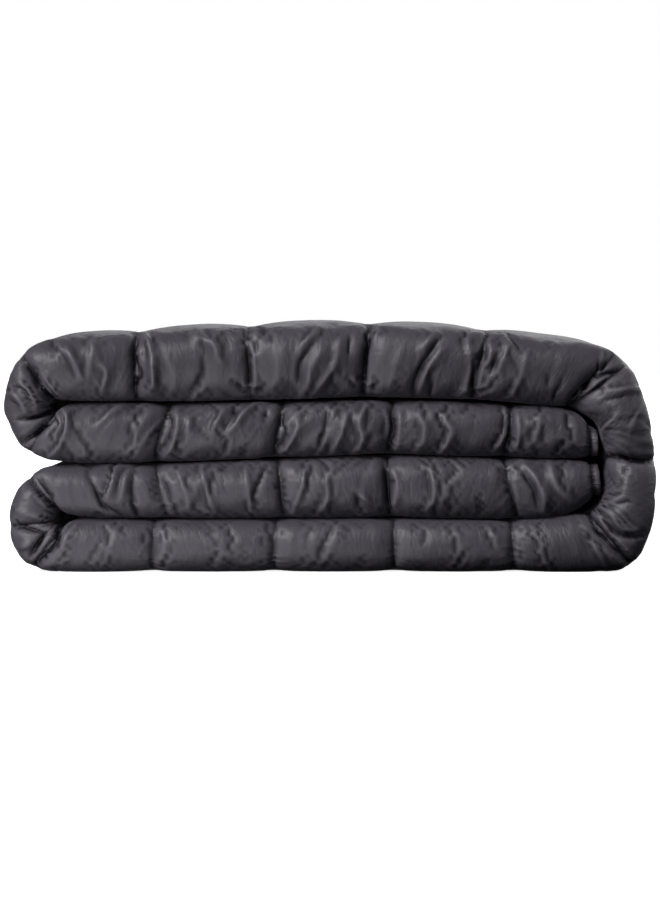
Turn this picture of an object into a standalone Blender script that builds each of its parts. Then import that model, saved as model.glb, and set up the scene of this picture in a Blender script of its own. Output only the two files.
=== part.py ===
"""A quilted, filled bedspread, folded into a pack of four layers.

The cloth is first folded lengthwise in three, with one fold along the front of the pack, and with the
other fold and a hemmed edge along the back. Its two short ends are then turned in to meet inside, and
the whole is folded in half once more, so that the pack shows a small turn at the left of each half and
one large turn at the right.

The solid is the section of the three plies, carried along the folds from one short hem to the other.
Origin: middle of the pack, on the surface that it lies on. +X is to the right, +Y to the back, +Z up.
"""

import math

import bmesh
import bpy
from mathutils import Vector

MM = 0.001  # the sizes below are in millimetres

PACK_DEPTH = 530.0  # front fold to back edges
POCKET = 100.0  # side of one sewn pocket, in the flat cloth
PRESSED_CROWN = 1.2  # how far a pocket swells where another layer presses on it
STITCH_SINK = 0.8  # how far the sewn channels sink below the seams' own level
SEAM_DRAW_IN = 6.0  # how far a seam pulls the front fold back
NOSE_DEPTH = 24.0  # how deep the rounding of the front fold is
PLY_GAP = 1.2  # between the three plies of a layer
HEM_WIDTH = 7.0  # flat, unfilled strip along each edge of the cloth
HEM_PLY = 3.0  # thickness of that strip
STATION_SPACING = 36.0  # sections along the folds, at most about this far apart on either face
NOSE_STEPS = 7  # facets round the front fold
BACK_STEPS = 5  # facets round the back fold
INSIDE_STEPS = 3  # facets round the inside of a fold

# The ribs of the fold, from one hem through the folds to the other, as points on the outer face and on
# the inner face of the three plies, seen from the front. x is from the middle of the pack, z from the
# surface below. setback is how far the front fold lies behind the front of the pack. crown is how far
# the pockets swell there on the outer face.
RIB_COLUMNS = ("kind", "outer_x", "outer_z", "inner_x", "inner_z", "setback", "crown")
RIBS = (
    # second layer, from its hem to the left
    ("hem", 225, 101, 225, 131, 6, 1.2),
    ("seam", 156, 102, 160, 147, 5, 1.2),
    ("seam", 52, 105, 55, 149, 4, 1.2),
    ("seam", -49, 103, -42, 148, 4, 1.2),
    ("seam", -154, 99, -141, 147, 4, 1.2),
    ("seam", -230, 99, -224, 145, 4, 1.2),
    # upper turn at the left
    ("bend", -260, 106, -238, 143, 3, 2.0),
    ("bend", -275, 121, -242, 146, 2, 3.0),
    ("bend", -282, 145, -244, 149, 2, 3.0),
    ("bend", -279, 171, -244, 152, 1, 3.0),
    ("seam", -266, 188, -241, 154, 1, 3.0),
    ("bend", -237, 201, -230, 153, 0, 3.0),
    # top layer, to the right
    ("seam", -171, 207, -170, 151, 0, 3.5),
    ("seam", -71, 213, -69, 152, 0, 3.5),
    ("seam", 34, 215, 29, 155, 0, 3.5),
    ("seam", 137, 208, 124, 153, 0, 3.5),
    ("seam", 188, 203, 180, 149, 0, 3.5),
    ("bend", 231, 194, 209, 145, 0, 3.0),
    # large turn at the right
    ("seam", 256, 180, 222, 140, 0, 3.0),
    ("bend", 269, 157, 233, 132, 0, 3.0),
    ("bend", 276, 130, 239, 119, 1, 3.0),
    ("seam", 283, 98, 242, 101, 2, 3.0),
    ("bend", 282, 70, 243, 80, 1, 3.0),
    ("bend", 277, 37, 240, 63, 0, 3.0),
    ("seam", 263, 8, 231, 54, 0, 2.0),
    ("bend", 236, 1, 213, 49, 0, 1.2),
    # bottom layer, to the left
    ("seam", 162, 1, 158, 44, 0, 1.2),
    ("seam", 56, 1, 55, 45, 0, 1.2),
    ("seam", -49, 1, -48, 45, 0, 1.2),
    ("seam", -156, 1, -154, 44, 0, 1.2),
    ("bend", -229, 1, -220, 42, 0, 1.2),
    # lower turn at the left
    ("seam", -260, 5, -236, 42, 0, 2.0),
    ("bend", -273, 21, -240, 46, 0, 3.0),
    ("bend", -279, 42, -241, 50, 1, 3.0),
    ("bend", -275, 63, -240, 54, 2, 3.0),
    ("seam", -264, 82, -236, 56, 3, 2.0),
    ("bend", -238, 93, -222, 54, 3, 1.2),
    # third layer, to its hem at the right
    ("seam", -153, 95, -143, 48, 3, 1.2),
    ("seam", -46, 99, -41, 49, 3, 1.2),
    ("seam", 50, 101, 52, 49, 3, 1.2),
    ("seam", 152, 99, 164, 47, 4, 1.2),
    ("hem", 227, 97, 231, 63, 6, 1.2),
)


def rib_table():
    """The ribs as dictionaries, with points in place of their numbers."""
    ribs = []
    for row in RIBS:
        rib = dict(zip(RIB_COLUMNS, row))
        rib["outer"] = Vector((rib["outer_x"], rib["outer_z"]))
        rib["inner"] = Vector((rib["inner_x"], rib["inner_z"]))
        ribs.append(rib)
    return ribs


def middle(rib):
    return (rib["outer"] + rib["inner"]) / 2


def across(rib):
    """The direction from the inner face to the outer face."""
    return (rib["outer"] - rib["inner"]).normalized()


def spline(before, start, end, after, t):
    """A point of the smooth curve from start to end, heading as its neighbours say."""
    leaving = (end - before) * 0.5
    arriving = (after - start) * 0.5
    return (
        start * (2 * t**3 - 3 * t**2 + 1)
        + leaving * (t**3 - 2 * t**2 + t)
        + end * (3 * t**2 - 2 * t**3)
        + arriving * (t**3 - t**2)
    )


def stations_between(ribs):
    """The ribs, and what lies evenly between them, as plain sections."""
    found = []
    last = len(ribs) - 1
    for i in range(last):
        near = [ribs[max(i - 1, 0)], ribs[i], ribs[i + 1], ribs[min(i + 2, last)]]
        span = max((ribs[i + 1][face] - ribs[i][face]).length for face in ("outer", "inner"))
        steps = math.ceil(span / STATION_SPACING)
        for step in range(steps + (i == last - 1)):
            t = step / steps
            rib = ribs[i if step < steps else i + 1]
            found.append(
                {
                    "outer": spline(*(r["outer"] for r in near), t),
                    "inner": spline(*(r["inner"] for r in near), t),
                    "setback": ribs[i]["setback"] * (1 - t) + ribs[i + 1]["setback"] * t,
                    "crown": ribs[i]["crown"] * (1 - t) + ribs[i + 1]["crown"] * t,
                    "sewn": t in (0, 1) and rib["kind"] != "bend",
                }
            )
    return found


def swell_pockets(stations):
    """Swells the cloth between its seams. Each station's swell is 0 at a seam and 1 in mid pocket."""
    along = [0.0]
    for station, following in zip(stations, stations[1:]):
        along.append(along[-1] + (middle(following) - middle(station)).length)
    sewn = [place for place, station in zip(along, stations) if station["sewn"]]
    for place, station in zip(along, stations):
        before = max(seam for seam in sewn if seam <= place)
        after = min(seam for seam in sewn if seam >= place)
        share = (place - before) / (after - before) if after > before else 0.0
        station["swell"] = math.sin(math.pi * share) ** 0.4 if share > 0 else 0.0
        outwards = across(station) * station["swell"]
        station["outer"] += outwards * station["crown"]
        station["inner"] -= outwards * PRESSED_CROWN


def depth_rows(beside):
    """Depths behind the front fold, in the sewn channels (1) and at shares of a pocket beside them (0)."""
    rows = []
    last = PACK_DEPTH - POCKET / 5
    channel = POCKET / 2
    while channel < last:
        rows.append((channel, 1.0))
        rows += [(channel + POCKET * share, 0.0) for share in beside]
        channel += POCKET
    return [row for row in rows if row[0] < last]


def half_round(first, last, base, reach, steps):
    """Points of a rounding from the offset first to the offset last, bulging from base by reach."""
    centre = (first + last) / 2
    radius = (last - first) / 2
    points = []
    for step in range(steps + 1):
        angle = math.pi * step / steps
        points.append((centre - radius * math.cos(angle), base + reach * math.sin(angle)))
    return points


def back_hem(inside, outside, edge):
    """The hemmed edge of the outer ply: its filling stops, and a flat strip goes on to the edge."""
    centre = (inside + outside) / 2
    strip = min(HEM_PLY, outside - inside) / 2
    return [
        (inside, edge - HEM_WIDTH),
        (centre - strip, edge - HEM_WIDTH + 1),
        (centre - strip, edge),
        (centre + strip, edge),
        (centre + strip, edge - HEM_WIDTH + 1),
        (outside, edge - HEM_WIDTH),
    ]


def folded_section(station, thick, nose_draw):
    """The section of the three plies as (offset towards the outer face, depth) points, in order.

    The outer ply runs from its hem at the back to the front fold, the inner ply from there to the back
    fold, and the last ply forward again between them. thick is the thickness of each.
    """
    half = (station["outer"] - station["inner"]).length / 2
    ply = filled_ply(station)
    out_face = half - (ply - thick) / 2
    in_face = out_face - thick
    mid_face = thick / 2
    outer_sink = STITCH_SINK + station["crown"] * station["swell"]
    inner_sink = STITCH_SINK + PRESSED_CROWN * station["swell"]
    nose_front = station["setback"] + nose_draw + (ply - thick) / 2
    nose_end = station["setback"] + NOSE_DEPTH
    inside_front = nose_front + thick
    inside_end = max(nose_end, inside_front + ply / 2)
    back_reach = thick / 2 + (ply + PLY_GAP) / 2
    back = PACK_DEPTH - ply - PLY_GAP / 2

    pocket_rows = depth_rows((0.2, 0.8))
    points = [(out_face - outer_sink * drawn, depth) for depth, drawn in reversed(pocket_rows)]
    points += half_round(out_face, -out_face, nose_end, nose_front - nose_end, NOSE_STEPS)
    points += [(inner_sink * drawn - out_face, depth) for depth, drawn in depth_rows((0.5,))]
    points += half_round(-out_face, mid_face, back, back_reach, BACK_STEPS)
    points += half_round(mid_face, -mid_face, inside_end + ply / 2, -thick / 2, INSIDE_STEPS)
    points += half_round(-mid_face, -in_face, back, back_reach - thick, INSIDE_STEPS)
    points += half_round(-in_face, in_face, inside_end, inside_front - inside_end, INSIDE_STEPS)
    points += back_hem(in_face, out_face, PACK_DEPTH - station["setback"])
    return points


def filled_ply(station):
    """Thickness of one filled ply."""
    return ((station["outer"] - station["inner"]).length - 2 * PLY_GAP) / 3


def section_points(station, thick, nose_draw):
    """The section's points in space, in metres. Below the surface the pack is pressed flat."""
    points = []
    for offset, depth in folded_section(station, thick, nose_draw):
        place = middle(station) + across(station) * offset
        points.append(Vector((place.x, depth - PACK_DEPTH / 2, max(place.y, 0.0))) * MM)
    return points


def moved(station, shift):
    """A copy of the station, moved by shift."""
    copy = dict(station)
    copy["outer"] = station["outer"] + shift
    copy["inner"] = station["inner"] + shift
    return copy


def hem_sections(station, neighbour):
    """The unfilled strip at a short end, from its edge to the step up to the filled cloth."""
    inwards = (middle(neighbour) - middle(station)).normalized()
    return [
        section_points(moved(station, -inwards * HEM_WIDTH), HEM_PLY, SEAM_DRAW_IN),
        section_points(station, HEM_PLY, SEAM_DRAW_IN),
        section_points(moved(station, inwards), filled_ply(station), SEAM_DRAW_IN),
    ]


def all_sections():
    """Every section of the cloth, hem to hem."""
    stations = stations_between(rib_table())
    swell_pockets(stations)
    sections = hem_sections(stations[0], stations[1])
    for station in stations[1:-1]:
        draw = SEAM_DRAW_IN * (1 - station["swell"])
        sections.append(section_points(station, filled_ply(station), draw))
    sections += reversed(hem_sections(stations[-1], stations[-2]))
    return sections


def centred(sections):
    """Moves the pack sideways and in depth so that the origin is under its middle."""
    xs = [point.x for section in sections for point in section]
    ys = [point.y for section in sections for point in section]
    shift = Vector(((min(xs) + max(xs)) / 2, (min(ys) + max(ys)) / 2, 0.0))
    return [[point - shift for point in section] for section in sections]


def carried_solid(name, sections):
    """A closed solid: the section carried from station to station, with a face over each end."""
    bm = bmesh.new()
    rings = [[bm.verts.new(point) for point in section] for section in sections]
    count = len(rings[0])
    for ring, following in zip(rings, rings[1:]):
        for i in range(count):
            after = (i + 1) % count
            bm.faces.new((ring[i], ring[after], following[after], following[i]))
    bm.faces.new(reversed(rings[0]))
    bm.faces.new(rings[-1])
    bmesh.ops.recalc_face_normals(bm, faces=bm.faces)
    mesh = bpy.data.meshes.new(name)
    bm.to_mesh(mesh)
    bm.free()
    mesh.shade_smooth()
    mesh.set_sharp_from_angle(angle=math.radians(50))
    solid = bpy.data.objects.new(name, mesh)
    bpy.context.scene.collection.objects.link(solid)
    return solid


def satin():
    """Charcoal satin, with a slight violet cast."""
    material = bpy.data.materials.new("charcoal_satin")
    material.use_nodes = True
    shader = material.node_tree.nodes["Principled BSDF"]
    shader.inputs["Base Color"].default_value = (0.062, 0.059, 0.070, 1.0)
    shader.inputs["Roughness"].default_value = 0.45
    shader.inputs["Metallic"].default_value = 0.0
    shader.inputs["Sheen Weight"].default_value = 0.3
    return material


def clear_scene():
    for obj in list(bpy.data.objects):
        bpy.data.objects.remove(obj)


clear_scene()
bedspread = carried_solid("bedspread", centred(all_sections()))
bedspread.data.materials.append(satin())
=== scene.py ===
import math

import bmesh
import bpy
import numpy as np
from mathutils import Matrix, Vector, noise


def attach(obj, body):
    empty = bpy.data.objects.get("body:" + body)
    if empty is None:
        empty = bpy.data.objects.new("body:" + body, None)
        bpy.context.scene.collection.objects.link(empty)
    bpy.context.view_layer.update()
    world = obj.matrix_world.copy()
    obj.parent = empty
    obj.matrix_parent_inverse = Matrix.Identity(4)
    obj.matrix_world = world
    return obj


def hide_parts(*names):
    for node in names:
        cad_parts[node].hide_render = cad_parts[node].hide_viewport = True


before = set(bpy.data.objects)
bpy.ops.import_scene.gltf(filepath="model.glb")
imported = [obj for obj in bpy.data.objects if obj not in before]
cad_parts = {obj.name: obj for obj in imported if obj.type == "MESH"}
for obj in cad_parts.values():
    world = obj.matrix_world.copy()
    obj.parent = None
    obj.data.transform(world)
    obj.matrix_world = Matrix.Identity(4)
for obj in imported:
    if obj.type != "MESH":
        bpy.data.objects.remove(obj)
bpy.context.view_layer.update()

print("frame loaded:", sorted(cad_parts))

mm = 0.001

# the folded cloth, in metres
cloth = {
    "packDepth": 0.530,      # front fold to back edges
    "pocket": 0.100,         # side of one sewn pocket
    "seamAtNose": 0.22,      # share of a pocket between its seam and the front fold's rounding
    "plyGap": 0.0012,        # between the three plies of a layer
    "hemWidth": 0.007,
    "hemPly": 0.006,
    "hemRound": 0.010,       # the filling thins out over this much before a hem
    "noseReach": 0.026,      # depth of the front fold's rounding
    "noseSquareness": 2.55,  # 2 is an ellipse, more is squarer
    "innerSpacing": 1.6,     # more puts more rows of the inner face near the front
    "pressedCrown": 0.0009,  # swell of a pocket against another layer
    "frontCrown": 0.0042,    # swell of a pocket at the front fold
    "frontBulge": 1.5,       # more keeps that swell nearer the middle of the fold
    "puff": 0.0028,          # what the free pockets swell more, between these ribs
    "puffedFrom": 9,
    "puffedTo": 25,
    "puffAlong": 0.03,       # it eases in over this much along the folds
    "puffAcross": 0.05,      # and this much across them
    "puffFromBack": 0.02,
    "pressedRoom": 0.0011,   # how far a face may pass its rib line, against another layer
    "freeRoom": 0.010,       # the same where nothing touches it
    "creaseDepth": 1.65,     # of the main creases, against their table
    "creaseShare": 1.35,     # how far round the front fold they reach
    "creaseStart": 0.15,
    "seamFar": 0.04,         # further from a seam counts as this far
    "hollowReach": 0.008,    # radius of a trough that counts as deep
    "tuckFrom": 0.0015,      # a crease deeper than this starts to get painted shade, as if it closed
    "tuckDepth": 0.0050,
    "coarse": 0.0155,        # grid before it is refined
    "fineFaceRow": 10,       # the free faces are finer from this row to the front fold
    "fineHidden": 2,         # and the hidden ones this many rows before it
    "fineInside": 3,         # rows behind the front fold that are finer
    "finestInset": 0.6,      # rows at the sides of the front fold that aren't of the finest
}

# ribs of the fold, hem to hem, in millimetres: outer and inner face of the three plies, seen from the
# front; setback of the front fold; crown on the outer face; pull is how deep the seam is at the front
ribColumns = ("kind", "outerX", "outerZ", "innerX", "innerZ", "setback", "crown", "pull")
ribs = (
    ("edge", 235, 100.5, 234, 125.5, 7, 1.2, 0),
    ("hem", 228, 100.5, 227.5, 130.5, 6, 1.2, 2),   # second layer, from its hem to the left
    ("bend", 205, 100.5, 206, 143.2, 5, 1.2, 0),
    ("seam", 154, 101.5, 158, 147, 5, 1.2, 5),
    ("seam", 51, 104, 55, 150.5, 4, 1.2, 6),
    ("seam", -49, 101, -42, 149, 4, 1.2, 6),
    ("seam", -154, 97, -141, 148, 4, 1.2, 7),
    ("bend", -226, 97, -221, 147.8, 4, 1.2, 0),
    ("seam", -264, 106, -241, 141, 3, 2.5, 2.5),    # upper turn at the left
    ("bend", -279.5, 131, -246, 144.5, 2, 2.0, 0),
    ("bend", -283.5, 151, -247, 148, 2, 2.0, 0),
    ("seam", -270, 189.5, -243, 152, 1, 1.6, 3),
    ("bend", -239, 203.8, -226, 151.2, 0, 1.0, 0),
    ("seam", -171, 210, -170, 150.3, 0, 1.0, 8),    # top layer, to the right
    ("seam", -71, 215, -69, 151.5, 0, 1.0, 3.5),
    ("seam", 34, 217, 29, 154, 0, 1.0, 7),
    ("seam", 137, 211.5, 124, 152, 0, 1.0, 5),
    ("bend", 188, 205.2, 180, 147.7, 0, 1.0, 0),
    ("bend", 231, 198, 204, 146, 0, 2.0, 0),        # large turn at the right
    ("seam", 259.5, 183, 211, 145, 0, 1.6, 5),
    ("bend", 271.5, 158, 233.5, 131.5, 0, 1.8, 0),
    ("bend", 280, 130, 239, 117, 1, 1.8, 0),
    ("seam", 285, 98, 242, 101, 2, 1.6, 5),
    ("bend", 285, 70, 242, 77, 1, 1.8, 0),
    ("bend", 280, 38, 238, 61, 0, 1.8, 0),
    ("seam", 265, 7, 227, 52, 0, 1.4, 5),
    ("bend", 236, 1, 211, 50, 0, 1.2, 0),
    ("seam", 162, 1, 158, 45, 0, 1.2, 3.5),         # bottom layer, to the left
    ("seam", 56, 1, 55, 46.3, 0, 1.2, 4),
    ("seam", -49, 1, -48, 46, 0, 1.2, 3),
    ("seam", -156, 1, -154, 45.4, 0, 1.2, 3),
    ("bend", -229, 1, -216, 46.0, 0, 1.2, 0),
    ("seam", -261, 5, -234, 40, 0, 1.4, 2.5),       # lower turn at the left
    ("bend", -273, 18, -240, 41, 0, 1.6, 0),
    ("seam", -281, 41, -243, 45, 1, 1.4, 2),
    ("bend", -276.5, 63, -242, 52, 2, 1.8, 0),
    ("seam", -264.5, 81.5, -237, 56, 3, 1.6, 2),
    ("bend", -238, 93, -217, 49.2, 3, 1.2, 0),
    ("seam", -153, 94.3, -143, 47.8, 3, 1.2, 3),    # third layer, to its hem at the right
    ("seam", -46, 98.5, -41, 48, 3, 1.2, 3.5),
    ("seam", 50, 101.8, 52, 48.5, 3, 1.2, 7),
    ("seam", 152, 99.5, 164, 47, 4, 1.2, 6),
    ("bend", 203, 98, 207, 51, 5, 1.2, 0),
    ("hem", 228, 97.5, 231, 64, 6, 1.2, 2),
    ("edge", 235, 97, 238, 65, 7, 1.2, 0),
)

# first and last rib of each run of the cloth, whether its back and outside show, and how wrinkled it is
runColumns = ("run", "firstRib", "lastRib", "shows", "wrinkled")
runs = (
    ("second", 0, 8, False, 0.9),
    ("over", 8, 26, True, 0.9),      # upper turn, top layer and large turn
    ("bottom", 26, 31, False, 0.3),
    ("lowerTurn", 31, 38, True, 0.9),
    ("third", 38, 44, False, 0.75),
)
runTable = [dict(zip(runColumns, row)) for row in runs]
runBlend = 0.03              # one run's wrinkles ease into the next over this much

# zones across the three plies, in order round the section, with their rows in the coarse grid
zones = (
    ("outerFace", 32), ("nose", 6), ("innerFace", 10), ("backFold", 3), ("tuckedTop", 2), ("tuckedEdge", 2),
    ("tuckedUnder", 2), ("foldInside", 2), ("innerLining", 2), ("noseInside", 2), ("outerLining", 3),
    ("backHem", 3),
)
zoneStart = {}
rowCount = 0
for zoneName, zoneRows in zones:
    zoneStart[zoneName] = (rowCount, zoneRows)
    rowCount += zoneRows

# main creases at the front fold, in millimetres seen from the front: half width, height (a trough is
# negative) and the points that each runs through, first across and then up
creaseColumns = ("width", "height", "points")
topCreases = (
    (3, -5.2, (-168, 208, -171, 194, -169, 187, -165, 175, -169, 165, -171, 155)),
    (2.7, 3.8, (-162, 208, -155, 194, -153, 181, -153, 168, -157, 164)),
    (2, 1.8, (-167, 198, -161, 179)),
    (3.3, 2.5, (-238, 198, -225, 186, -218, 169)),
    (2.5, 2, (-230, 196, -221, 184, -215, 169)),
    (4.1, 2, (-208, 201, -207, 190, -211, 172)),
    (3.3, 2.2, (-201, 183, -195, 175, -199, 160)),
    (4.1, 2.8, (-120, 205, -103, 199, -97, 188)),
    (4.1, -1.9, (-110, 188, -111, 174, -118, 164)),
    (3.3, 2.2, (-115, 159, -124, 150)),
    (2.5, -2, (-76, 211, -73, 194, -70, 174, -69, 158)),
    (2.5, 2.5, (-71, 203, -67, 190, -66, 172, -69, 153)),
    (1.6, 1.5, (-79, 167, -70, 163, -60, 165)),
    (4.1, 2.8, (-7, 215, -26, 196)),
    (3.3, -2.5, (-14, 202, -26, 183, -27, 169)),
    (4.9, 3, (-7, 194, -17, 179, -20, 165, -31, 151)),
    (3.3, 2.8, (7, 202, 4, 186, -3, 174, -20, 153)),
    (2.9, -2.2, (16, 207, 14, 190)),
    (3.3, -3.8, (31, 211, 34, 202, 32, 190, 30, 172, 28, 155)),
    (2.5, 2.8, (42, 212, 35, 194, 33, 172, 32, 155)),
    (1.6, 1.8, (19, 171, 28, 164, 38, 167)),
    (4.1, 2.2, (93, 211, 78, 193)),
    (3.7, -3.8, (93, 202, 83, 187, 75, 171, 72, 158)),
    (3.3, 3.2, (96, 194, 84, 179, 77, 162)),
    (2, -2, (87, 155, 89, 165)),
    (4.1, 2.8, (119, 203, 121, 186, 119, 165, 113, 158)),
    (3.3, 3, (138, 202, 139, 188, 132, 179, 127, 162)),
    (2.5, -3, (124, 183, 123, 159)),
    (1.6, 1.8, (115, 162, 126, 161, 136, 165)),
    (3.3, 2.2, (152, 205, 155, 198, 148, 181, 143, 174)),
    (2.5, -1.8, (143, 188, 141, 175)),
    (3.3, -1.1, (188, 176, 188, 165)),
    (3.3, -1.1, (201, 171, 195, 156)),
    (3.3, 1.2, (171, 192, 166, 174, 159, 158)),
    (4.9, 1.2, (61, 192, 54, 174, 51, 160)),
    (4.9, 1.2, (-48, 197, -45, 179, -51, 160)),
    (4.9, 1.1, (-141, 188, -135, 172, -139, 158)),
)
turnCreases = (
    (5.3, -7, (240, 184, 231, 175, 220, 163, 211, 152, 207, 145)),
    (3.3, 3.2, (243, 172, 234, 168, 223, 158)),
    (2.5, 2, (235, 189, 234, 174)),
    (2.9, -2.5, (256, 183, 248, 177, 238, 174, 232, 171)),
    (3.3, 2.2, (267, 160, 241, 160)),
    (3.3, -2.2, (257, 155, 239, 151)),
    (3.3, 2, (248, 138, 238, 122)),
    (4.1, 1.5, (267, 143, 260, 123)),
    (2.6, -3.2, (241, 102, 252, 101.5, 262, 99, 271, 97, 282, 98)),
    (4.1, 2.5, (237, 55, 246, 51, 253, 40, 263, 39)),
    (4.1, -2, (239, 46, 250, 34, 264, 32)),
    (4.9, 1.5, (259, 85, 255, 69, 246, 60)),
    (2.7, -6.5, (226, 48, 236, 34, 248, 21, 263, 7)),
    (2.5, 2.8, (233, 49, 242, 37, 254, 25, 267, 12)),
    (2.5, 2, (228, 27, 243, 5)),
    (2.5, 1.8, (238, 23, 250, 8)),
)
leftUpperCreases = (
    (3.3, -6.5, (-264, 181, -258, 172, -252, 163, -244, 152, -236, 147)),
    (3.3, 2.5, (-274, 157, -268, 149, -264, 138)),
    (2.5, 2, (-268, 166, -260, 156, -257, 142)),
    (2.9, -6.5, (-268, 135, -254, 137, -242, 143, -232, 148)),
    (2.5, -5.5, (-268, 114, -261, 118, -247, 129, -240, 136)),
    (3.3, 2.8, (-233, 140, -229, 132, -233, 117, -248, 102)),
    (2, 1.8, (-238, 136, -235, 130, -240, 121)),
    (2.5, 1.9, (-252, 176, -242, 165, -235, 156)),
)
secondCreases = (
    (3.3, 2.2, (-202, 130, -189, 140, -177, 144)),
    (4.1, 2, (-225, 102, -210, 107)),
    (2.9, -2.5, (-141, 141, -139, 130, -143, 117, -153, 98)),
    (2.9, 2.5, (-135, 140, -133, 129, -137, 116, -147, 99)),
    (3.3, 2.2, (-122, 134, -125, 121)),
    (3.3, -1.8, (-82, 144, -86, 137)),
    (3.3, 2.8, (-91, 141, -102, 127)),
    (3.3, 3, (-65, 145, -77, 136, -89, 122)),
    (2.5, -1.8, (-55, 141, -58, 136)),
    (2.9, -3.2, (-40, 141, -42, 132, -40, 123, -49, 102)),
    (2.5, 2.8, (-28, 132, -30, 123, -39, 110, -48, 102)),
    (1.6, 1.5, (-37, 132, -35, 121)),
    (3.3, -2.8, (0, 136, -9, 109)),
    (2.5, 2.2, (4, 141, -2, 130, -5, 117, -11, 106)),
    (2.9, 2.5, (14, 136, 9, 121, 0, 106)),
    (3.3, 2.2, (32, 144, 25, 132, 28, 117, 19, 106)),
    (2.5, -3.2, (53, 147, 55, 132, 56, 123, 51, 106)),
    (2, 2.2, (48, 141, 51, 130, 50, 115)),
    (2.5, 2.5, (59, 141, 60, 130, 57, 107)),
    (4.1, 2, (100, 132, 106, 122, 95, 107)),
    (4.1, 1.5, (78, 137, 82, 123, 75, 109)),
    (2.9, 2.8, (152, 144, 155, 132, 152, 119, 143, 107)),
    (2, -3, (158, 141, 157, 127, 155, 115, 151, 104)),
    (2.5, 2, (163, 139, 164, 125, 162, 111)),
    (4.1, -1.5, (205, 138, 207, 127)),
    (4.1, 1.2, (183, 136, 180, 118)),
    (4.9, 1.2, (-169, 129, -170, 115, -179, 104)),
)
leftLowerCreases = (
    (2.2, -4, (-261, 78, -251, 67, -240, 57)),
    (2.5, -2.5, (-254, 82, -245, 70, -240, 60)),
    (2.5, 2.2, (-258, 81, -247, 68, -240, 59)),
    (2.7, -5, (-275, 40, -266, 40, -248, 35)),
    (2.5, -4.5, (-248, 35, -253, 29, -261, 17)),
    (2.5, -5, (-238, 38, -240, 26, -258, 7)),
    (3.3, 2.2, (-272, 55, -264, 52, -254, 48)),
    (3.3, 2, (-267, 24, -258, 27)),
)
thirdCreases = (
    (3.3, -2.8, (-212, 85, -202, 70, -195, 59, -183, 53)),
    (3.3, 2.5, (-187, 89, -190, 78, -195, 67)),
    (3.3, 2.2, (-176, 87, -183, 64)),
    (2.9, -1.5, (-172, 91, -172, 64, -168, 48)),
    (3.3, -2.5, (-150, 89, -141, 70, -135, 54)),
    (3.3, 2.5, (-112, 88, -106, 70, -101, 57)),
    (4.1, 1.8, (-132, 87, -125, 69, -123, 57)),
    (2.9, -2.5, (-58, 89, -67, 69)),
    (2.9, 1.8, (-74, 88, -71, 71, -69, 57)),
    (4.1, -2.2, (-45, 94, -42, 76, -39, 50)),
    (2.5, 2.5, (-22, 87, -26, 72, -33, 55)),
    (2.9, 2.2, (-3, 79, -2, 67, -9, 57)),
    (2.5, -1.8, (23, 67, 25, 59)),
    (2.5, 1.8, (25, 69, 34, 63)),
    (2.5, -3.5, (46, 97, 49, 76, 51, 60, 56, 51)),
    (2.5, 3.2, (50, 94, 57, 81, 56, 64, 55, 57)),
    (4.9, 1.2, (87, 88, 92, 73, 85, 57)),
    (3.3, 2.5, (151, 95, 155, 87, 161, 70, 163, 60)),
    (1.6, 1.8, (147, 94, 155, 92, 165, 95)),
    (3.3, 3.2, (169, 93, 179, 82, 186, 69, 186, 57)),
    (3.3, -3, (169, 85, 177, 74, 180, 60)),
    (3.7, 2.5, (190, 93, 197, 76, 211, 63)),
)
bottomCreases = (
    (3.3, -2.5, (-159, 40, -152, 26, -156, 8)),
    (3.3, 1.8, (-148, 40, -144, 25, -149, 10)),
    (4.1, -1.2, (-201, 27, -211, 11)),
    (4.9, 1.2, (-186, 38, -191, 22, -198, 8)),
    (2.9, -2.5, (-55, 38, -49, 23, -53, 8)),
    (2.9, 2.5, (-43, 40, -48, 29, -49, 11)),
    (3.3, -2, (-18, 35, -22, 20)),
    (2.9, -2.2, (1, 38, -9, 20)),
    (3.3, 2.2, (7, 40, 3, 26, -3, 17)),
    (4.9, 1.2, (-97, 38, -93, 22, -100, 8)),
    (2.5, -2.8, (55, 45, 57, 4)),
    (4.9, -1.2, (83, 36, 82, 24)),
    (2.5, -2.2, (157, 42, 156, 27, 159, 4)),
    (2.5, 2.2, (160, 40, 162, 25, 162, 4)),
    (3.3, 2.8, (167, 40, 182, 29, 186, 14, 195, 2)),
    (2.9, -2.2, (176, 33, 188, 17)),
    (3.3, 1.1, (138, 40, 148, 20)),
    (4.1, 1.2, (109, 38, 113, 22, 106, 8)),
)
# and the ribs between which they lie
creases = (
    (11, 20, topCreases), (17, 27, turnCreases), (6, 13, leftUpperCreases), (0, 8, secondCreases),
    (31, 38, leftLowerCreases), (36, 44, thirdCreases), (25, 32, bottomCreases),
)
creaseTable = [dict(zip(creaseColumns, row), ends=(first, last))
               for first, last, rows in creases for row in rows]

# row of the grid, and metres round the section
acrossTable = ((0, 0.0), (32, 0.499), (38, 0.591), (48, 1.07), (rowCount, 1.55))


def flatAcross(rows):
    return np.interp(rows, *zip(*acrossTable))


ribTable = [dict(zip(ribColumns, row)) for row in ribs]
for rib in ribTable:
    for face in ("outer", "inner"):
        rib[face] = np.array((rib[face + "X"], rib[face + "Z"])) * mm


def curvePoint(before, start, end, after, t):
    leaving, arriving = (end - before) * 0.5, (after - start) * 0.5
    return (start * (2 * t**3 - 3 * t**2 + 1) + leaving * (t**3 - 2 * t**2 + t)
            + end * (3 * t**2 - 2 * t**3) + arriving * (t**3 - t**2))


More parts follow.
